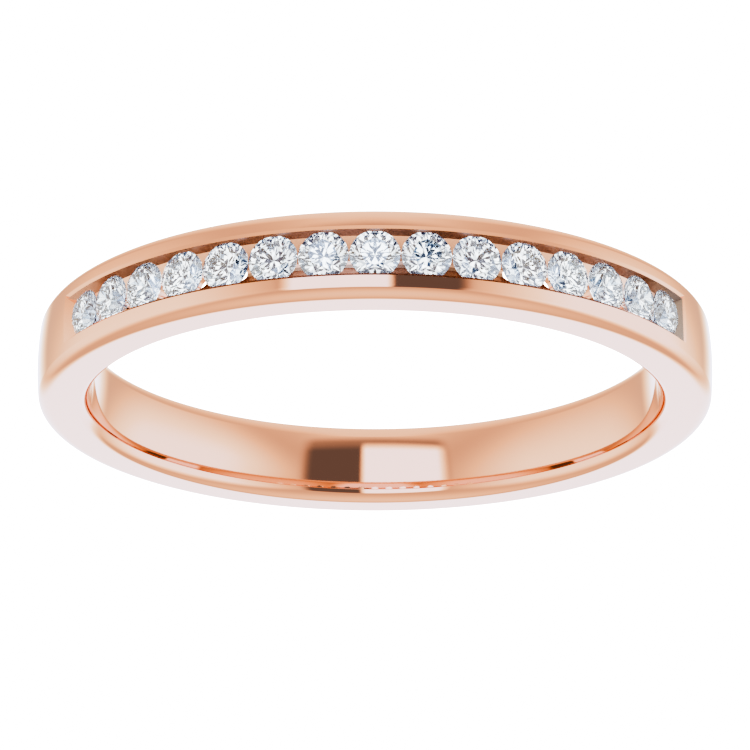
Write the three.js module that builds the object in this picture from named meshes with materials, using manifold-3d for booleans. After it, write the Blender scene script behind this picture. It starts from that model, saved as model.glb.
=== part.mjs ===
// Channel-set diamond wedding band in rose gold, US ring size 7.
//
// Millimetres, +Z up. The ring stands upright: the finger hole's axis is Y, the origin is
// the middle of the finger hole, and the row of diamonds is centred on the top, at +Z.
// The band is one casting (shank, two rails, stone seats). Each diamond is a piece of its own.

import * as THREE from "three";
import { mergeVertices } from "three/addons/utils/BufferGeometryUtils.js";
import Module from "manifold-3d";

const wasm = await Module();
wasm.setup();

const degrees = THREE.MathUtils.degToRad;

// Band section. Radii are measured from the finger hole's axis, half widths along Y.
const BORE_RADIUS = 8.675;
const CROWN_RADIUS = 10.34;
const HALF_WIDTH = 1.303;
const OUTER_DOME_RADIUS = 9;
const INNER_DOME_RADIUS = 7;
const OUTER_ROUNDING = { along: 0.31, radial: 0.42 };
const INNER_ROUNDING = { along: 0.39, radial: 0.33 };
const BAND_SEGMENTS = 96;
const DOME_STEPS = 2;
const ROUNDING_STEPS = 3;

// Row of diamonds.
const STONE_COUNT = 15;
const STONE_DIAMETER = 1.43;
const STONE_PITCH = degrees(8.28);
const GIRDLE_RADIUS = 10;
const GIRDLE_THICKNESS = 0.04;
const TABLE_SHARE = 0.57;
const CROWN_ANGLE = degrees(34.5);
const PAVILION_ANGLE = degrees(40.75);
const STAR_LENGTH = 0.5;
const LOWER_HALF_LENGTH = 0.77;

// Channel that holds the diamonds by their girdles.
const CHANNEL_HALF_ANGLE = degrees(62);
const LIP_HALF_WIDTH = 0.74;
const WALL_HALF_WIDTH = 0.665;
const BEVEL_DEPTH = 0.07;
const GIRDLE_CLEARANCE = 0.012;
const WALL_FOOT_RADIUS = 9.72;
const VALLEY_HALF_WIDTH = 0.1;
const AZURE_RADIUS = 0.3;
const AZURE_SIDES = 12;
const CUT_MARGIN = 0.4;

const bandMaterial = new THREE.MeshStandardMaterial({
  name: "rose_gold",
  color: 0xe2ab86,
  roughness: 0.15,
  metalness: 1,
});

const diamondMaterial = new THREE.MeshStandardMaterial({
  name: "diamond",
  color: 0xf4f6fa,
  roughness: 0.02,
  metalness: 0,
});

// A closed geometry as a solid that can be joined and cut.
function solid(geometry) {
  const bare = geometry.clone();
  bare.deleteAttribute("normal");
  bare.deleteAttribute("uv");
  const merged = mergeVertices(bare, 1e-5);
  return new wasm.Manifold(
    new wasm.Mesh({
      numProp: 3,
      vertProperties: Float32Array.from(merged.attributes.position.array),
      triVerts: Uint32Array.from(merged.index.array),
    })
  );
}

// A cut solid back as a geometry.
function geometryOf(cutSolid) {
  const mesh = cutSolid.getMesh();
  const geometry = new THREE.BufferGeometry();
  geometry.setAttribute("position", new THREE.BufferAttribute(mesh.vertProperties, 3));
  geometry.setIndex(new THREE.BufferAttribute(mesh.triVerts, 1));
  geometry.computeVertexNormals();
  return geometry;
}

// How far a dome of the given radius has dropped at a distance from its middle.
function domeDrop(domeRadius, distance) {
  return domeRadius - Math.sqrt(domeRadius ** 2 - distance ** 2);
}

// One half of a domed face with its rounded edge, from the middle (y = 0) to the side face.
// Points are (radius, y). toward is -1 for the outer face and +1 for the bore.
function halfFace(middleRadius, domeRadius, rounding, toward) {
  const points = [];
  const shoulder = HALF_WIDTH - rounding.along;
  for (let step = 0; step <= DOME_STEPS; step += 1) {
    const y = (shoulder * step) / DOME_STEPS;
    points.push(new THREE.Vector2(middleRadius + toward * domeDrop(domeRadius, y), y));
  }
  const start = points.at(-1).x;
  for (let step = 1; step <= ROUNDING_STEPS; step += 1) {
    const turn = (Math.PI / 2) * (step / ROUNDING_STEPS);
    const radius = start + toward * rounding.radial * (1 - Math.cos(turn));
    points.push(new THREE.Vector2(radius, shoulder + rounding.along * Math.sin(turn)));
  }
  return points;
}

// A half outline made whole by its mirror image in y.
function mirrored(half) {
  const other = half
    .filter((point) => point.y > 0)
    .map((point) => new THREE.Vector2(point.x, -point.y))
    .reverse();
  return [...other, ...half];
}

// A closed outline of (radius, y) points turned all the way round the Y axis.
function turned(outline) {
  return new THREE.LatheGeometry([...outline, outline[0].clone()], BAND_SEGMENTS);
}

// The plain ring: a lightly domed top, flat sides and a comfort-fit bore.
function shank() {
  const outer = mirrored(halfFace(CROWN_RADIUS, OUTER_DOME_RADIUS, OUTER_ROUNDING, -1));
  const bore = mirrored(halfFace(BORE_RADIUS, INNER_DOME_RADIUS, INNER_ROUNDING, 1));
  return solid(turned([...outer, ...bore.reverse()]));
}

// The channel's section: bevelled lips, upright walls with a groove for the girdles,
// then sides that slope like the pavilions down to a narrow valley.
function channelOutline() {
  const lipRadius = CROWN_RADIUS - domeDrop(OUTER_DOME_RADIUS, LIP_HALF_WIDTH);
  const grooveHalfWidth = STONE_DIAMETER / 2 + GIRDLE_CLEARANCE;
  const grooveTop = GIRDLE_RADIUS + GIRDLE_CLEARANCE;
  const grooveFoot = GIRDLE_RADIUS - GIRDLE_THICKNESS - GIRDLE_CLEARANCE;
  const grooveDepth = grooveHalfWidth - WALL_HALF_WIDTH;
  const slopeWidth = WALL_HALF_WIDTH - VALLEY_HALF_WIDTH;
  const half = [
    [WALL_FOOT_RADIUS - slopeWidth * Math.tan(PAVILION_ANGLE), VALLEY_HALF_WIDTH],
    [WALL_FOOT_RADIUS, WALL_HALF_WIDTH],
    [grooveFoot - grooveDepth * Math.tan(PAVILION_ANGLE), WALL_HALF_WIDTH],
    [grooveFoot, grooveHalfWidth],
    [grooveTop, grooveHalfWidth],
    [grooveTop + grooveDepth * Math.tan(CROWN_ANGLE), WALL_HALF_WIDTH],
    [lipRadius - BEVEL_DEPTH, WALL_HALF_WIDTH],
    [lipRadius, LIP_HALF_WIDTH],
    [CROWN_RADIUS + CUT_MARGIN, LIP_HALF_WIDTH],
  ].map(([radius, y]) => new THREE.Vector2(radius, y));
  return mirrored(half).reverse();
}

// The wedge of the ring that the channel runs through, as a slice that is wider than the band.
function channelWedge() {
  const reach = 2 * CROWN_RADIUS;
  const side = new THREE.Vector2(Math.sin(CHANNEL_HALF_ANGLE), Math.cos(CHANNEL_HALF_ANGLE));
  const slice = new THREE.Shape([
    new THREE.Vector2(0, 0),
    new THREE.Vector2(side.x * reach, side.y * reach),
    new THREE.Vector2(0, reach),
    new THREE.Vector2(-side.x * reach, side.y * reach),
  ]);
  const depth = 2 * (HALF_WIDTH + CUT_MARGIN);
  const wedge = new THREE.ExtrudeGeometry(slice, { depth, bevelEnabled: false });
  wedge.translate(0, 0, -depth / 2);
  wedge.rotateX(Math.PI / 2);
  return solid(wedge);
}

// The open back under one diamond, from the channel's valley through to the bore.
function azure(angle) {
  const length = GIRDLE_RADIUS - BORE_RADIUS;
  const hole = new THREE.CylinderGeometry(AZURE_RADIUS, AZURE_RADIUS, length, AZURE_SIDES);
  hole.rotateX(Math.PI / 2);
  hole.translate(0, 0, BORE_RADIUS - CUT_MARGIN + length / 2);
  hole.rotateY(angle);
  return solid(hole);
}

function stoneAngle(index) {
  return (index - (STONE_COUNT - 1) / 2) * STONE_PITCH;
}

function bandGeometry() {
  const channel = solid(turned(channelOutline())).intersect(channelWedge());
  let band = shank().subtract(channel);
  for (let index = 0; index < STONE_COUNT; index += 1) {
    band = band.subtract(azure(stoneAngle(index)));
  }
  return geometryOf(band);
}

// A round brilliant with its girdle's top edge at z = 0 and its table up.
// Every facet is a flat polygon, cut into triangles that face away from the middle.
function brilliantGeometry() {
  const girdle = STONE_DIAMETER / 2;
  const table = girdle * TABLE_SHARE;
  const eighth = Math.PI / 4;
  const crownHeight = (girdle - table) * Math.tan(CROWN_ANGLE);
  const starRadius = THREE.MathUtils.lerp(table * Math.cos(eighth / 2), girdle, STAR_LENGTH);
  const starHeight = (girdle - starRadius * Math.cos(eighth / 2)) * Math.tan(CROWN_ANGLE);
  const tipRadius = girdle * (1 - LOWER_HALF_LENGTH);
  const tipDepth = (girdle - tipRadius * Math.cos(eighth / 2)) * Math.tan(PAVILION_ANGLE);
  const culetDepth = girdle * Math.tan(PAVILION_ANGLE);

  // How far a half facet's plane has moved at the girdle, midway between its two corners.
  const scallop = (radius, height) => {
    const chord = girdle * Math.cos(eighth / 4);
    const slope = height / (chord - radius * Math.cos(eighth / 4));
    return slope * (girdle - chord);
  };
  const upperScallop = scallop(starRadius, starHeight);
  const lowerScallop = scallop(tipRadius, tipDepth);

  const at = (radius, turn, z) =>
    new THREE.Vector3(radius * Math.cos(turn), radius * Math.sin(turn), z);
  const middle = new THREE.Vector3(0, 0, -GIRDLE_THICKNESS);
  const culet = at(0, 0, -GIRDLE_THICKNESS - culetDepth);
  const positions = [];
  const facet = (...corners) => {
    const plane = new THREE.Plane().setFromCoplanarPoints(...corners.slice(0, 3));
    const outward = plane.distanceToPoint(middle) < 0 ? corners : [...corners].reverse();
    for (let corner = 1; corner + 1 < outward.length; corner += 1) {
      [outward[0], outward[corner], outward[corner + 1]].forEach((p) => positions.push(p.x, p.y, p.z));
    }
  };

  const tableCorners = [];
  for (let main = 0; main < 8; main += 1) {
    const turn = main * eighth;
    const before = turn - eighth / 2;
    const after = turn + eighth / 2;
    const corner = at(table, turn, crownHeight);
    const star = at(starRadius, after, starHeight);
    const tip = at(tipRadius, after, -GIRDLE_THICKNESS - tipDepth);
    tableCorners.push(corner);
    facet(corner, at(table, turn + eighth, crownHeight), star);
    facet(corner, star, at(girdle, turn, 0), at(starRadius, before, starHeight));
    facet(
      culet,
      tip,
      at(girdle, turn, -GIRDLE_THICKNESS),
      at(tipRadius, before, -GIRDLE_THICKNESS - tipDepth)
    );
    for (const from of [turn, after]) {
      const turns = [from, from + eighth / 4, from + eighth / 2];
      const top = turns.map((along, place) => at(girdle, along, place === 1 ? -upperScallop : 0));
      const foot = turns.map((along, place) =>
        at(girdle, along, (place === 1 ? lowerScallop : 0) - GIRDLE_THICKNESS)
      );
      facet(star, ...top);
      facet(tip, ...foot);
      facet(top[0], top[1], foot[1], foot[0]);
      facet(top[1], top[2], foot[2], foot[1]);
    }
  }
  facet(...tableCorners);

  const geometry = new THREE.BufferGeometry();
  geometry.setAttribute("position", new THREE.Float32BufferAttribute(positions, 3));
  geometry.computeVertexNormals();
  return geometry;
}

const ring = new THREE.Group();

const band = new THREE.Mesh(bandGeometry(), bandMaterial);
band.name = "band";
ring.add(band);

for (let index = 0; index < STONE_COUNT; index += 1) {
  const seat = new THREE.Group();
  seat.rotation.y = stoneAngle(index);
  const diamond = new THREE.Mesh(brilliantGeometry(), diamondMaterial);
  diamond.name = `diamond_${String(index + 1).padStart(2, "0")}`;
  diamond.position.z = GIRDLE_RADIUS;
  seat.add(diamond);
  ring.add(seat);
}

export default ring;
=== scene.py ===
"""Looks for the channel-set rose gold wedding band.

The band is built here as a fine, smoothly shaded mesh, and stands for the CAD band. It has the
same sizes, but its rounded edges run on smoothly from the domed faces, and each diamond has its
own notches. The fifteen CAD diamonds stay and get a clear, faceted diamond material.
Sizes are millimetres until a mesh is finished, then metres, in the frame of the CAD model.
"""

import math

import bmesh
import bpy
import numpy as np
from mathutils import Matrix, Vector


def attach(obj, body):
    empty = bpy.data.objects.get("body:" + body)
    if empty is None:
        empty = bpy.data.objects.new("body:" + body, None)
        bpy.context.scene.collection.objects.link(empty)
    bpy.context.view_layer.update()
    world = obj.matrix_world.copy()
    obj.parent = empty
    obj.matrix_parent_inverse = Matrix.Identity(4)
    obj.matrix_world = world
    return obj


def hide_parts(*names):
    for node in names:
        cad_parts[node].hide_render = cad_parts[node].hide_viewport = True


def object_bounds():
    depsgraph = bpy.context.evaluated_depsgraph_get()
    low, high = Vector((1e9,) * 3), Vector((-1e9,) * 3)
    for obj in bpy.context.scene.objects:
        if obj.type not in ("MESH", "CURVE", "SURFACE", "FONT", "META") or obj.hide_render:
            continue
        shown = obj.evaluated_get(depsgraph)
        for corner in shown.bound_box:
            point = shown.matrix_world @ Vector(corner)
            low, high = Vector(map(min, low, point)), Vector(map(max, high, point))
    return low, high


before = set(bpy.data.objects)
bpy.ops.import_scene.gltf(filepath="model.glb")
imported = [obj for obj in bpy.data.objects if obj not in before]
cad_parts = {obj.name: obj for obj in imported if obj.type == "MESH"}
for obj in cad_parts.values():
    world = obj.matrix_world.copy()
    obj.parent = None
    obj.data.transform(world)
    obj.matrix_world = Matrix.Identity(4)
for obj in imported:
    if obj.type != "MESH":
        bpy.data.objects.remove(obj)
cad_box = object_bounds()

MM = 0.001

# Band section, with the sizes of the CAD model. Radii are from the finger hole's axis, widths along Y.
CROWN_RADIUS = cad_box[1].x / MM
HALF_WIDTH = cad_box[1].y / MM
WALL_THICKNESS = 1.665
BORE_RADIUS = CROWN_RADIUS - WALL_THICKNESS
OUTER_DOME_RADIUS = 9
INNER_DOME_RADIUS = 7
OUTER_ROUNDING = {"along": 0.31, "radial": 0.42}
INNER_ROUNDING = {"along": 0.39, "radial": 0.33}

# Row of diamonds and the channel that holds them.
STONE_COUNT = 15
STONE_DIAMETER = 1.43
STONE_PITCH = math.radians(8.28)
GIRDLE_RADIUS = 10
GIRDLE_THICKNESS = 0.04
CROWN_ANGLE = math.radians(34.5)
PAVILION_ANGLE = math.radians(40.75)
CHANNEL_HALF_ANGLE = math.radians(62)
LIP_HALF_WIDTH = 0.74
WALL_HALF_WIDTH = 0.665
BEVEL_DEPTH = 0.07
GIRDLE_CLEARANCE = 0.012
WALL_FOOT_RADIUS = 9.72
VALLEY_HALF_WIDTH = 0.1
AZURE_RADIUS = 0.3
AZURE_BELOW_BORE = 0.4
AZURE_BELOW_WALL_FOOT = 0.3
NOTCH_CORE = 0.6

# How finely the band is divided.
CHANNEL_STEPS = 155
SHANK_STEPS = 295
LIP_STEPS = 6
DOME_STEPS = 3
ROUNDING_STEPS = 10
BORE_STEPS = 9
AZURE_SIDES = 48
NOTCH_SIDES = 64

# How the band's faces are told apart when it is polished: lengths, then parts of a unit normal.
CHANNEL_ABOVE_BORE = 0.5
OUTER_FACE_DEPTH = 0.2
NEAR_AZURE = 0.01
BORE_MARGIN = 0.001
SIDE_MARGIN = 0.0001
LEVEL_SLOPE = 0.05
END_WALL_SLOPE = 0.5

# The satin metal inside the channel: its reach and roughness; its seat colour; the painted shade on the
# seats' near half and on the upright walls; and the painted cooler colour that metal takes where it is
# seen through a diamond.
CHANNEL_METAL_HALF_WIDTH = 0.7
# The reach in angle is a little longer on the +x side, so the end wall there falls inside the masks and
# takes the satin finish and the painted wall shade, while the end wall on the -x side stays polished.
CHANNEL_METAL_ANGLE = (math.radians(61.9), math.radians(62.3))
CHANNEL_METAL_FLOOR = 9.0
CHANNEL_ROUGHNESS = 0.28
SEAT_COLOUR = (0.88, 0.62, 0.5)
# Painted shade: the seats on the near half (y below zero) are painted this darker colour.
PAINTED_SHADE_SEAT_COLOUR = (0.42, 0.30, 0.24)
# Painted shade: the channel's upright walls are painted this dull, greyish colour so that they read
# dark.
PAINTED_SHADE_WALL_COLOUR = (0.57, 0.51, 0.50)
# Painted: metal seen through a diamond takes this cooler colour in place of its own, so that it shows
# cool, not gold, inside the diamonds.
METAL_BEHIND_DIAMONDS = (0.56, 0.66, 0.78)

# The polished metal everywhere else, and the diamonds.
GOLD_COLOUR = (0.805, 0.505, 0.374)
DEEPER_GOLD_COLOUR = (0.795, 0.495, 0.366)
DIAMOND_COLOUR = (0.95, 0.98, 1)
CLOUDED_DIAMOND_COLOUR = (0.91, 0.96, 1)
DIAMOND_IOR = 2.417

# A ray's Transmission Depth is above this once it has been through a diamond.
THROUGH_DIAMOND = 0.5

# Radiance that shows as plain white.
WHITE_OUT = 4.5


def dome_drop(dome_radius, distance):
    """How far a dome has dropped at a distance from its middle."""
    return dome_radius - math.sqrt(dome_radius**2 - distance**2)


def half_face(middle, dome, rounding, toward, stations):
    """(radius, y) points from the middle of a domed face out to its side face."""
    shoulder = HALF_WIDTH - rounding["along"]
    spare = dome_drop(dome, HALF_WIDTH) - dome_drop(dome, shoulder)
    points = [(middle + toward * dome_drop(dome, y), y) for y in stations]
    for step in range(1, ROUNDING_STEPS + 1):
        turn = math.pi / 2 * step / ROUNDING_STEPS
        y = shoulder + rounding["along"] * math.sin(turn)
        extra = (rounding["radial"] - spare) * (1 - math.cos(turn))
        points.append((middle + toward * (dome_drop(dome, y) + extra), y))
    return points


def spaced(start, end, steps):
    return [start + (end - start) * step / steps for step in range(steps + 1)]


def outer_half():
    shoulder = HALF_WIDTH - OUTER_ROUNDING["along"]
    stations = spaced(0, LIP_HALF_WIDTH, LIP_STEPS)
    stations += spaced(LIP_HALF_WIDTH, shoulder, DOME_STEPS)[1:]
    return half_face(CROWN_RADIUS, OUTER_DOME_RADIUS, OUTER_ROUNDING, -1, stations)


def bore_half():
    shoulder = HALF_WIDTH - INNER_ROUNDING["along"]
    stations = spaced(0, shoulder, BORE_STEPS)
    return half_face(BORE_RADIUS, INNER_DOME_RADIUS, INNER_ROUNDING, 1, stations)


def channel_half():
    """(radius, y) points from the channel's valley up its side to the bevelled lip."""
    lip = CROWN_RADIUS - dome_drop(OUTER_DOME_RADIUS, LIP_HALF_WIDTH)
    slope = (WALL_HALF_WIDTH - VALLEY_HALF_WIDTH) * math.tan(PAVILION_ANGLE)
    return [
        (WALL_FOOT_RADIUS - slope, VALLEY_HALF_WIDTH),
        (WALL_FOOT_RADIUS, WALL_HALF_WIDTH),
        (lip - BEVEL_DEPTH, WALL_HALF_WIDTH),
        (lip, LIP_HALF_WIDTH),
    ]


def mirrored(half):
    """A half outline made whole by its mirror image in y."""
    return [(radius, -y) for radius, y in reversed(half) if y > 0] + half


def band_mesh():
    """The ring with its channel, before the open backs are cut."""
    outer = mirrored(outer_half())
    bore = mirrored(bore_half())
    channel = mirrored(channel_half())
    lip_low = outer.index(min(outer, key=lambda p: abs(p[1] + LIP_HALF_WIDTH)))
    lip_high = outer.index(min(outer, key=lambda p: abs(p[1] - LIP_HALF_WIDTH)))
    crown = outer[lip_low : lip_high + 1]
    rest = outer[lip_high:] + bore[::-1] + outer[: lip_low + 1]

    mesh = bmesh.new()

    def row(section, angle):
        return [mesh.verts.new((r * math.sin(angle), y, r * math.cos(angle))) for r, y in section]

    def join(first, second):
        for a, b, c, d in zip(first, first[1:], second[1:], second):
            mesh.faces.new((a, b, c, d))

    channel_angles = spaced(-CHANNEL_HALF_ANGLE, CHANNEL_HALF_ANGLE, CHANNEL_STEPS)
    shank_angles = spaced(CHANNEL_HALF_ANGLE, 2 * math.pi - CHANNEL_HALF_ANGLE, SHANK_STEPS)
    angles = channel_angles + shank_angles[1:-1]
    rails = [row(rest, angle) for angle in angles]
    for first, second in zip(rails, rails[1:] + rails[:1]):
        join(first, second)

    def between_lips(section, angle_index):
        inner = row(section[1:-1], angles[angle_index])
        return [rails[angle_index][-1], *inner, rails[angle_index][0]]

    troughs = [between_lips(channel, index) for index in range(CHANNEL_STEPS + 1)]
    for first, second in zip(troughs, troughs[1:]):
        join(first, second)
    shank = range(CHANNEL_STEPS, len(angles) + 1)
    covers = [between_lips(crown, index % len(angles)) for index in shank]
    for first, second in zip(covers, covers[1:]):
        join(first, second)
    mesh.faces.new(troughs[-1] + covers[0][1:-1][::-1])
    mesh.faces.new(covers[-1] + troughs[0][1:-1][::-1])
    bmesh.ops.recalc_face_normals(mesh, faces=mesh.faces)
    made = bpy.data.meshes.new("band_looks")
    mesh.to_mesh(made)
    mesh.free()
    return made


def stone_angle(index):
    return (index - (STONE_COUNT - 1) / 2) * STONE_PITCH


def turned_cutter(cutter, outline, sides, place):
    """A closed solid turned about the local Z axis from (radius, height) points, into cutter."""
    rings = []
    for radius, height in outline:
        turns = [math.tau * side / sides for side in range(sides)]
        spots = [Vector((radius * math.cos(turn), radius * math.sin(turn), height)) for turn in turns]
        rings.append([cutter.verts.new(place @ spot) for spot in spots])
    for low, high in zip(rings, rings[1:]):
        for side in range(sides):
            after = (side + 1) % sides
            cutter.faces.new((low[side], low[after], high[after], high[side]))
    cutter.faces.new(rings[0][::-1])
    cutter.faces.new(rings[-1])


def azure_outline():
    """An open back, from the channel's valley through to the bore."""
    return [
        (AZURE_RADIUS, BORE_RADIUS - AZURE_BELOW_BORE),
        (AZURE_RADIUS, WALL_FOOT_RADIUS - AZURE_BELOW_WALL_FOOT),
    ]


def notch_outline():
    """The space a diamond's girdle takes up in the channel's walls."""
    girdle = STONE_DIAMETER / 2 + GIRDLE_CLEARANCE
    depth = girdle - NOTCH_CORE
    top = GIRDLE_RADIUS + GIRDLE_CLEARANCE
    foot = GIRDLE_RADIUS - GIRDLE_THICKNESS - GIRDLE_CLEARANCE
    return [
        (NOTCH_CORE, foot - depth * math.tan(PAVILION_ANGLE)),
        (girdle, foot),
        (girdle, top),
        (NOTCH_CORE, top + depth * math.tan(CROWN_ANGLE)),
    ]


def cut_round_stones(band, name, outline, sides, overlapping):
    """Cuts the turned outline out of the band at every diamond; overlapping cutters are merged."""
    cutter = bmesh.new()
    for index in range(STONE_COUNT):
        turned_cutter(cutter, outline, sides, Matrix.Rotation(stone_angle(index), 4, "Y"))
    cutter_mesh = bpy.data.meshes.new(name)
    cutter.to_mesh(cutter_mesh)
    cutter.free()
    holes = bpy.data.objects.new(name, cutter_mesh)
    bpy.context.scene.collection.objects.link(holes)
    cut = band.modifiers.new(name, "BOOLEAN")
    cut.operation = "DIFFERENCE"
    cut.solver = "EXACT"
    cut.use_self = overlapping
    cut.object = holes
    bpy.context.view_layer.update()
    evaluated = band.evaluated_get(bpy.context.evaluated_depsgraph_get())
    shape = bpy.data.meshes.new_from_object(evaluated)
    band.modifiers.remove(cut)
    band.data = shape
    bpy.data.objects.remove(holes)


def face_slope(y, dome, rounding):
    """(outward, sideways) parts of the unit normal of a domed face with its rounded edge."""
    shoulder = HALF_WIDTH - rounding["along"]
    spare = dome_drop(dome, HALF_WIDTH) - dome_drop(dome, shoulder)
    sine = np.clip((np.abs(y) - shoulder) / rounding["along"], 0, 1)
    cosine = np.sqrt(1 - sine**2)
    fall = np.abs(y) / np.sqrt(dome**2 - y**2) * cosine
    fall += (rounding["radial"] - spare) / rounding["along"] * sine
    size = np.hypot(cosine, fall)
    return cosine / size, np.sign(y) * fall / size


def polish(mesh):
    """Gives every corner the normal of the true turned surface, so reflections run smooth."""
    counts = np.empty(len(mesh.polygons), int)
    mesh.polygons.foreach_get("loop_total", counts)
    corner = np.empty(len(mesh.loops), int)
    mesh.loops.foreach_get("vertex_index", corner)
    points = np.empty(3 * len(mesh.vertices))
    mesh.vertices.foreach_get("co", points)
    points = points.reshape(-1, 3)[corner]
    flat = np.empty(3 * len(counts))
    mesh.polygons.foreach_get("normal", flat)
    flat = flat.reshape(-1, 3)
    middle = np.empty(3 * len(counts))
    mesh.polygons.foreach_get("center", middle)
    middle = middle.reshape(-1, 3)

    def out_of(where):
        unit = where * (1, 0, 1)
        return unit / np.linalg.norm(unit, axis=1)[:, None]

    along_y = np.array((0, 1, 0))
    outward = (flat * out_of(middle)).sum(1)
    sideways = flat[:, 1]
    radius = np.hypot(middle[:, 0], middle[:, 2])
    angle = np.arctan2(middle[:, 0], middle[:, 2])
    width = np.abs(middle[:, 1])

    last = STONE_COUNT // 2
    nearest = np.clip(np.round(angle / STONE_PITCH), -last, last) * STONE_PITCH
    axis = np.stack([np.sin(nearest), 0 * nearest, np.cos(nearest)], 1)
    in_sector = (np.abs(angle) < CHANNEL_HALF_ANGLE) & (width < LIP_HALF_WIDTH)
    in_channel = in_sector & (radius > BORE_RADIUS + CHANNEL_ABOVE_BORE)
    foot = BORE_RADIUS + dome_drop(INNER_DOME_RADIUS, HALF_WIDTH) + INNER_ROUNDING["radial"]
    from_axis = middle - (middle * axis).sum(1)[:, None] * axis
    on_wall = np.abs(np.linalg.norm(from_axis, axis=1) - AZURE_RADIUS) < NEAR_AZURE
    azure = on_wall & (np.abs((flat * axis).sum(1)) < LEVEL_SLOPE)
    end_wall = in_channel & (np.hypot(outward, sideways) < END_WALL_SLOPE) & ~azure
    bore = (outward < -LEVEL_SLOPE) & (radius < foot + BORE_MARGIN) & ~azure
    skin = (radius > GIRDLE_RADIUS - OUTER_FACE_DEPTH) & (width < HALF_WIDTH - SIDE_MARGIN)
    outer = ~in_channel & skin & ~azure & ~bore

    of = np.repeat(np.arange(len(counts)), counts)
    spoke = out_of(points)
    normal = outward[of][:, None] * spoke + sideways[of][:, None] * along_y
    for chosen, dome, rounding, toward in (
        (outer, OUTER_DOME_RADIUS, OUTER_ROUNDING, 1),
        (bore, INNER_DOME_RADIUS, INNER_ROUNDING, -1),
    ):
        out, side = face_slope(points[:, 1], dome, rounding)
        curved = toward * out[:, None] * spoke + side[:, None] * along_y
        normal = np.where(chosen[of][:, None], curved, normal)
    stalk = axis[of]
    away = points - (points * stalk).sum(1)[:, None] * stalk
    normal = np.where(azure[of][:, None], -away, normal)
    normal = np.where(end_wall[of][:, None], flat[of], normal)
    normal /= np.linalg.norm(normal, axis=1)[:, None]
    mesh.polygons.foreach_set("use_smooth", np.ones(len(counts), bool))
    mesh.normals_split_custom_set(normal.tolist())


def node(tree, kind, values=(), links=(), **settings):
    """One shader node with its plain values, its incoming links and its settings."""
    made = tree.nodes.new(kind)
    for name, value in settings.items():
        setattr(made, name, value)
    for name, value in dict(values).items():
        made.inputs[name].default_value = value
    for name, source in dict(links).items():
        tree.links.new(source, made.inputs[name])
    return made


def new_material(name):
    material = bpy.data.materials.new(name)
    material.use_nodes = True
    material.node_tree.nodes.clear()
    return material


def mathed(tree, operation, *terms):
    """The output of one Math node; a term is a number or another node's output."""
    made = node(tree, "ShaderNodeMath", operation=operation)
    for socket, term in zip(made.inputs, terms):
        if isinstance(term, (int, float)):
            socket.default_value = term
        else:
            tree.links.new(term, socket)
    return made.outputs[0]


def blended(tree, share, none, full):
    """A colour that runs from none to full; each is a plain colour or another node's output."""
    made = node(tree, "ShaderNodeMix", data_type="RGBA")
    tree.links.new(share, made.inputs[0])
    ends = [one for one in made.inputs if one.type == "RGBA"]
    for socket, colour in zip(ends, (none, full)):
        if isinstance(colour, tuple):
            socket.default_value = (*colour, 1)
        else:
            tree.links.new(colour, socket)
    return next(one for one in made.outputs if one.type == "RGBA")


def mixed(tree, share, none, full):
    """The first shader where share is 0 and the second where it is 1."""
    return node(tree, "ShaderNodeMixShader", (), {0: share, 1: none, 2: full}).outputs[0]


def within(tree, value, low, high):
    """One where the value lies between low and high, and zero elsewhere."""
    above = mathed(tree, "GREATER_THAN", value, low)
    return mathed(tree, "MULTIPLY", above, mathed(tree, "LESS_THAN", value, high))


def channel_share(tree, place):
    """One on all the metal inside the channel; one on its upright walls, which take painted shade; and
    one on its near half, where the seats take painted shade.
    """
    spot = node(tree, "ShaderNodeSeparateXYZ", (), {0: place})
    x, y, z = spot.outputs
    squares = [mathed(tree, "POWER", part, 2) for part in (x, z)]
    radius = mathed(tree, "SQRT", mathed(tree, "ADD", *squares))
    across = mathed(tree, "LESS_THAN", mathed(tree, "ABSOLUTE", y), CHANNEL_METAL_HALF_WIDTH * MM)
    crown = within(tree, mathed(tree, "ARCTAN2", x, z), -CHANNEL_METAL_ANGLE[0], CHANNEL_METAL_ANGLE[1])
    top = CROWN_RADIUS - dome_drop(OUTER_DOME_RADIUS, LIP_HALF_WIDTH) - BEVEL_DEPTH
    sector = mathed(tree, "MULTIPLY", across, crown)
    inside = mathed(tree, "MULTIPLY", sector, within(tree, radius, CHANNEL_METAL_FLOOR * MM, top * MM))
    upright = mathed(tree, "MULTIPLY", sector, within(tree, radius, WALL_FOOT_RADIUS * MM, top * MM))
    # The near half, where the seats get painted shade.
    near_side = mathed(tree, "LESS_THAN", y, 0)
    return inside, upright, mathed(tree, "MULTIPLY", inside, near_side)


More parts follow.
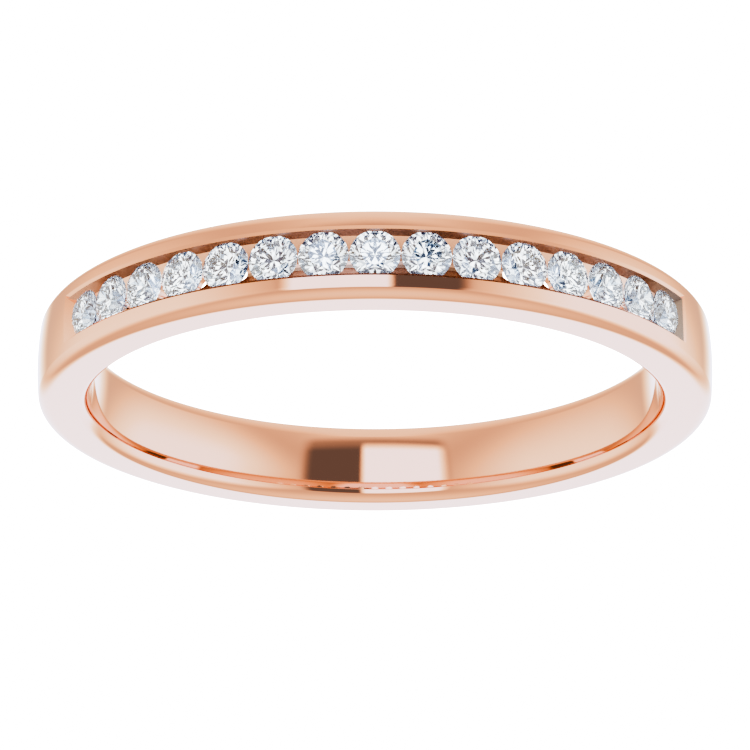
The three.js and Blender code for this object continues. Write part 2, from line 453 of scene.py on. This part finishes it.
def rose_gold_material():
    """Mirror-polished rose gold, satin in the channel, with a breath of colour change. Painted shade
    darkens the channel's upright walls and the near half of its seats, and metal seen through a diamond
    takes a painted cooler colour.
    """
    material = new_material("polished_rose_gold")
    tree = material.node_tree
    place = node(tree, "ShaderNodeTexCoord").outputs["Object"]
    cloud = node(tree, "ShaderNodeTexNoise", {"Scale": 220, "Detail": 3}, {"Vector": place})
    fine = node(tree, "ShaderNodeTexNoise", {"Scale": 9000, "Detail": 2}, {"Vector": place})
    inside, upright, shaded = channel_share(tree, place)
    polished = blended(tree, cloud.outputs["Fac"], GOLD_COLOUR, DEEPER_GOLD_COLOUR)
    # Seat colour, with painted shade on the near half.
    seat = blended(tree, shaded, SEAT_COLOUR, PAINTED_SHADE_SEAT_COLOUR)
    # Painted shade on the upright walls.
    channel_colour_with_painted_shade = blended(tree, upright, seat, PAINTED_SHADE_WALL_COLOUR)
    gloss = node(
        tree,
        "ShaderNodeMapRange",
        {"To Min": 0.02, "To Max": 0.05},
        {"Value": cloud.outputs["Fac"]},
    )
    roughness = mathed(
        tree, "ADD", gloss.outputs["Result"], mathed(tree, "MULTIPLY", inside, CHANNEL_ROUGHNESS)
    )
    bump = node(
        tree,
        "ShaderNodeBump",
        {"Strength": 0.01, "Distance": 0.00001},
        {"Height": fine.outputs["Fac"]},
    )
    # Metal seen through a diamond takes the painted cooler colour.
    depth = node(tree, "ShaderNodeLightPath").outputs["Transmission Depth"]
    through_stone = mathed(tree, "GREATER_THAN", depth, THROUGH_DIAMOND)
    plain = blended(tree, inside, polished, channel_colour_with_painted_shade)
    metal = node(
        tree,
        "ShaderNodeBsdfPrincipled",
        {"Metallic": 1.0},
        {
            "Base Color": blended(tree, through_stone, plain, METAL_BEHIND_DIAMONDS),
            "Roughness": roughness,
            "Normal": bump.outputs["Normal"],
        },
    )
    node(tree, "ShaderNodeOutputMaterial", (), {"Surface": metal.outputs["BSDF"]})
    return material


def diamond_material():
    """Clear diamond with the slightest clouding; the metal's own reflections look past it."""
    material = new_material("clear_diamond")
    tree = material.node_tree
    place = node(tree, "ShaderNodeTexCoord").outputs["Object"]
    cloud = node(tree, "ShaderNodeTexNoise", {"Scale": 900, "Detail": 2}, {"Vector": place})
    glass = node(
        tree,
        "ShaderNodeBsdfPrincipled",
        {"Roughness": 0.0, "IOR": DIAMOND_IOR, "Transmission Weight": 1.0},
        {"Base Color": blended(tree, cloud.outputs["Fac"], DIAMOND_COLOUR, CLOUDED_DIAMOND_COLOUR)},
    )
    clear = node(tree, "ShaderNodeBsdfTransparent", {"Color": (1, 1, 1, 1)})
    path = node(tree, "ShaderNodeLightPath")
    been_inside = mathed(tree, "GREATER_THAN", path.outputs["Transmission Depth"], THROUGH_DIAMOND)
    bounced = mixed(tree, been_inside, clear.outputs[0], glass.outputs[0])
    seen = mixed(tree, path.outputs["Is Glossy Ray"], glass.outputs[0], bounced)
    lit = mixed(tree, path.outputs["Is Shadow Ray"], seen, clear.outputs[0])
    node(tree, "ShaderNodeOutputMaterial", (), {"Surface": lit})
    return material


def floor_material():
    """A white table that gives off its own light, so that the ring throws no shadow on it."""
    material = new_material("white_table")
    tree = material.node_tree
    surface = node(
        tree,
        "ShaderNodeBsdfPrincipled",
        {
            "Base Color": (0.85, 0.85, 0.85, 1),
            "Roughness": 0.9,
            "Emission Color": (1, 1, 1, 1),
            "Emission Strength": WHITE_OUT,
        },
    )
    node(tree, "ShaderNodeOutputMaterial", (), {"Surface": surface.outputs["BSDF"]})
    return material


def make_band():
    band = bpy.data.objects.new("band_looks", band_mesh())
    bpy.context.scene.collection.objects.link(band)
    cut_round_stones(band, "azures", azure_outline(), AZURE_SIDES, overlapping=False)
    cut_round_stones(band, "notches", notch_outline(), NOTCH_SIDES, overlapping=True)
    polish(band.data)
    band.data.transform(Matrix.Scale(MM, 4))
    band.data.materials.clear()
    band.data.materials.append(rose_gold_material())
    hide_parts("band")
    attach(band, "root")
    return band


def dress_diamonds():
    material = diamond_material()
    for name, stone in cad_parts.items():
        if name.startswith("diamond"):
            for slot in stone.material_slots:
                slot.material = material


def panel(name, material, across, along, height):
    """A level rectangle in the XY plane: across is its x range, along its y range."""
    mesh = bpy.data.meshes.new(name)
    (left, right), (front, back) = across, along
    outline = ((left, front), (right, front), (right, back), (left, back))
    corners = [(x, y, height) for x, y in outline]
    mesh.from_pydata(corners, [], [(0, 1, 2, 3)])
    mesh.materials.append(material)
    made = bpy.data.objects.new(name, mesh)
    bpy.context.scene.collection.objects.link(made)
    return made


BRIGHTEST = 2.6

# The side cards of the studio stand a little forward of the ring, in degrees.
SIDE_CARDS_FORWARD = 6

# The camera, in metres, and its lens and sensor in millimetres.
CAMERA_ELEVATION = math.radians(70.35)
CAMERA_DISTANCE = 0.09599
CAMERA_LENS = 149.6
CAMERA_SENSOR = 36

# The dark lens that the diamonds see above them, in degrees.
LENS_HALF_ANGLE = 14
LENS_EDGE = 2

# The floor reaches this far from the ring each way, in metres.
FLOOR_REACH = 1.4

# The colour of the light that metal sees, by level: dim is warm and bright is cool.
METAL_LIGHT = (
    (0.2, (0.20, 0.18, 0.18)),
    (0.5, (0.70, 0.48, 0.36)),
    (0.9, (1.20, 0.90, 0.60)),
    (1.5, (1.50, 1.40, 1.20)),
    (2.0, (1.70, 1.85, 2.30)),
    (2.6, (1.95, 2.45, 3.15)),
)

# The colour of the light that has been through a diamond, by level: dim is blue.
GEM_LIGHT = (
    (0.2, (0.00, 0.01, 0.03)),
    (0.5, (0.03, 0.07, 0.17)),
    (0.75, (0.20, 0.35, 0.55)),
    (1.0, (0.80, 0.90, 1.05)),
    (1.4, (1.90, 2.00, 2.05)),
    (2.6, (4.60, 4.60, 4.60)),
)


class Sky:
    """A studio round the ring, as radiance by direction: arithmetic on shader sockets."""

    def __init__(self, tree):
        self.tree = tree
        direction = node(tree, "ShaderNodeTexCoord").outputs["Generated"]
        split = node(tree, "ShaderNodeSeparateXYZ", (), {"Vector": direction})
        self.x, self.y, self.z = split.outputs

    def math(self, operation, *terms):
        return mathed(self.tree, operation, *terms)

    def angle(self, across, forward):
        """How far, in degrees, a direction leans off forward towards across."""
        return self.math("MULTIPLY", self.math("ARCTAN2", across, forward), math.degrees(1))

    def fade(self, value, start, end):
        """0 at start, 1 at end, smoothly."""
        made = node(
            self.tree,
            "ShaderNodeMapRange",
            {"From Min": start, "From Max": end},
            {"Value": value},
            interpolation_type="SMOOTHSTEP",
        )
        return made.outputs["Result"]

    def near(self, value, inner, outer):
        """1 while value is within inner of zero, 0 past outer."""
        return self.math("SUBTRACT", 1, self.fade(self.math("ABSOLUTE", value), inner, outer))

    def product(self, *terms):
        total = terms[0]
        for term in terms[1:]:
            total = self.math("MULTIPLY", total, term)
        return total

    def total(self, *terms):
        added = terms[0]
        for term in terms[1:]:
            added = self.math("ADD", added, term)
        return added

    def blend(self, base, value, amount):
        """base where amount is 0 and value where it is 1."""
        made = node(self.tree, "ShaderNodeMix", data_type="FLOAT")
        sockets = [made.inputs[index] for index in (0, 2, 3)]
        for socket, term in zip(sockets, (amount, base, value)):
            if isinstance(term, (int, float)):
                socket.default_value = term
            else:
                self.tree.links.new(term, socket)
        return made.outputs[0]


def gem_room(sky):
    """What the diamonds look out at: bright cards all round with dim gaps, and a dark lens."""
    lean_x = sky.angle(sky.x, sky.z)
    lean_y = sky.angle(sky.y, sky.z)
    height = sky.math("MULTIPLY", sky.math("ARCSINE", sky.z), math.degrees(1))
    turn = sky.math("ARCTAN2", sky.math("ABSOLUTE", sky.x), sky.y)
    strips = sky.fade(sky.math("COSINE", sky.math("MULTIPLY", turn, 9)), -0.35, 0.1)
    walls = sky.blend(0.35, 1.35, strips)
    ceiling = sky.product(sky.near(lean_x, 29, 33), sky.near(lean_y, 29, 33))
    bars = sky.fade(sky.math("COSINE", sky.math("MULTIPLY", lean_x, math.radians(16))), -0.45, -0.15)
    walls = sky.blend(walls, sky.blend(0.45, 1.75, bars), ceiling)
    toward = sky.total(
        sky.math("MULTIPLY", sky.y, -math.cos(CAMERA_ELEVATION)),
        sky.math("MULTIPLY", sky.z, math.sin(CAMERA_ELEVATION)),
    )
    lens_rim = math.cos(math.radians(LENS_HALF_ANGLE + LENS_EDGE))
    lens = sky.fade(toward, lens_rim, math.cos(math.radians(LENS_HALF_ANGLE)))
    return sky.blend(walls, 0.2, lens)


def room(sky):
    """Soft glowing walls, a white floor panel and a ceiling panel that is part lit, part dark."""
    elevation = sky.math("MULTIPLY", sky.math("ARCSINE", sky.z), math.degrees(1))
    left_x = sky.math("MULTIPLY", sky.x, -1)
    front_y = sky.math("MULTIPLY", sky.y, -1)
    walls = sky.total(0.60, sky.math("MULTIPLY", sky.near(elevation, 0, 75), 0.10))
    for shift, across, outward, side, height, strength in (
        (SIDE_CARDS_FORWARD, sky.y, sky.x, (20, 45), (20, 70), 1.1),
        (SIDE_CARDS_FORWARD, sky.y, left_x, (15, 45), (20, 70), 0.8),
        (0, sky.x, sky.y, (10, 55), (55, 85), 0.45),
        (0, sky.x, front_y, (0, 50), (5, 65), 0.35),
    ):
        turn = sky.math("ADD", sky.angle(across, outward), shift)
        glow_side = sky.near(turn, *side)
        glow_height = sky.near(sky.angle(sky.z, outward), *height)
        lamp = sky.product(glow_side, glow_height)
        walls = sky.total(walls, sky.math("MULTIPLY", lamp, strength))
    walls = sky.blend(walls, 2.0, sky.fade(elevation, -50, -65))

    lean_x = sky.angle(sky.x, sky.z)
    lean_y = sky.angle(sky.y, sky.z)
    behind = sky.product(sky.fade(lean_y, 36, 30), sky.fade(lean_y, 0, 10))
    shade = sky.product(sky.near(lean_x, 26, 34), behind)
    walls = sky.blend(walls, 0.35, shade)
    ceiling = sky.product(sky.near(lean_x, 26, 32), sky.near(lean_y, 25, 31))
    panel_light = sky.blend(2.0, 0.2, sky.fade(lean_x, 3.5, 7))
    return sky.blend(walls, panel_light, ceiling)


def glow(sky, level, colours):
    """A background whose colour follows the studio's level."""
    brightest = max(max(colour) for _, colour in colours)
    ramp = node(sky.tree, "ShaderNodeValToRGB", (), {"Fac": sky.math("DIVIDE", level, BRIGHTEST)})
    stops = ramp.color_ramp.elements
    for place, (radiance, colour) in enumerate(colours):
        stop = stops[place] if place < 2 else stops.new(radiance / BRIGHTEST)
        stop.position = radiance / BRIGHTEST
        stop.color = (*[part / brightest for part in colour], 1)
    made = node(
        sky.tree, "ShaderNodeBackground", {"Strength": brightest}, {"Color": ramp.outputs["Color"]}
    )
    return made.outputs["Background"]


def studio():
    reach = (-FLOOR_REACH, FLOOR_REACH)
    table = panel("floor", floor_material(), reach, reach, cad_box[0].z)
    table.visible_glossy = False
    table.visible_transmission = False
    world = bpy.data.worlds.new("studio")
    bpy.context.scene.world = world
    world.use_nodes = True
    tree = world.node_tree
    tree.nodes.clear()
    sky = Sky(tree)
    level = room(sky)
    metal_sees = glow(sky, level, METAL_LIGHT)
    gems_see = glow(sky, gem_room(sky), GEM_LIGHT)
    plain = node(tree, "ShaderNodeBackground", {"Color": (1, 1, 1, 1), "Strength": WHITE_OUT})
    path = node(tree, "ShaderNodeLightPath")
    through_stone = mathed(tree, "GREATER_THAN", path.outputs["Transmission Depth"], THROUGH_DIAMOND)
    light = mixed(tree, through_stone, metal_sees, gems_see)
    shown = mixed(tree, path.outputs["Is Camera Ray"], light, plain.outputs["Background"])
    node(tree, "ShaderNodeOutputWorld", (), {"Surface": shown})


def camera():
    data = bpy.data.cameras.new("camera")
    data.lens = CAMERA_LENS
    data.sensor_width = CAMERA_SENSOR
    data.clip_start = 0.001
    data.clip_end = 10
    made = bpy.data.objects.new("camera", data)
    back = CAMERA_DISTANCE * math.cos(CAMERA_ELEVATION)
    up = CAMERA_DISTANCE * math.sin(CAMERA_ELEVATION)
    made.location = (0, -back, up)
    made.rotation_euler = (math.pi / 2 - CAMERA_ELEVATION, 0, 0)
    bpy.context.scene.collection.objects.link(made)
    bpy.context.scene.camera = made


make_band()
dress_diamonds()
studio()
camera()

bpy.context.scene.cycles.max_bounces = 24
bpy.context.scene.cycles.glossy_bounces = 20
bpy.context.scene.cycles.transmission_bounces = 20
bpy.context.scene.view_settings.view_transform = "AgX"
bpy.context.scene.view_settings.look = "AgX - Very High Contrast"
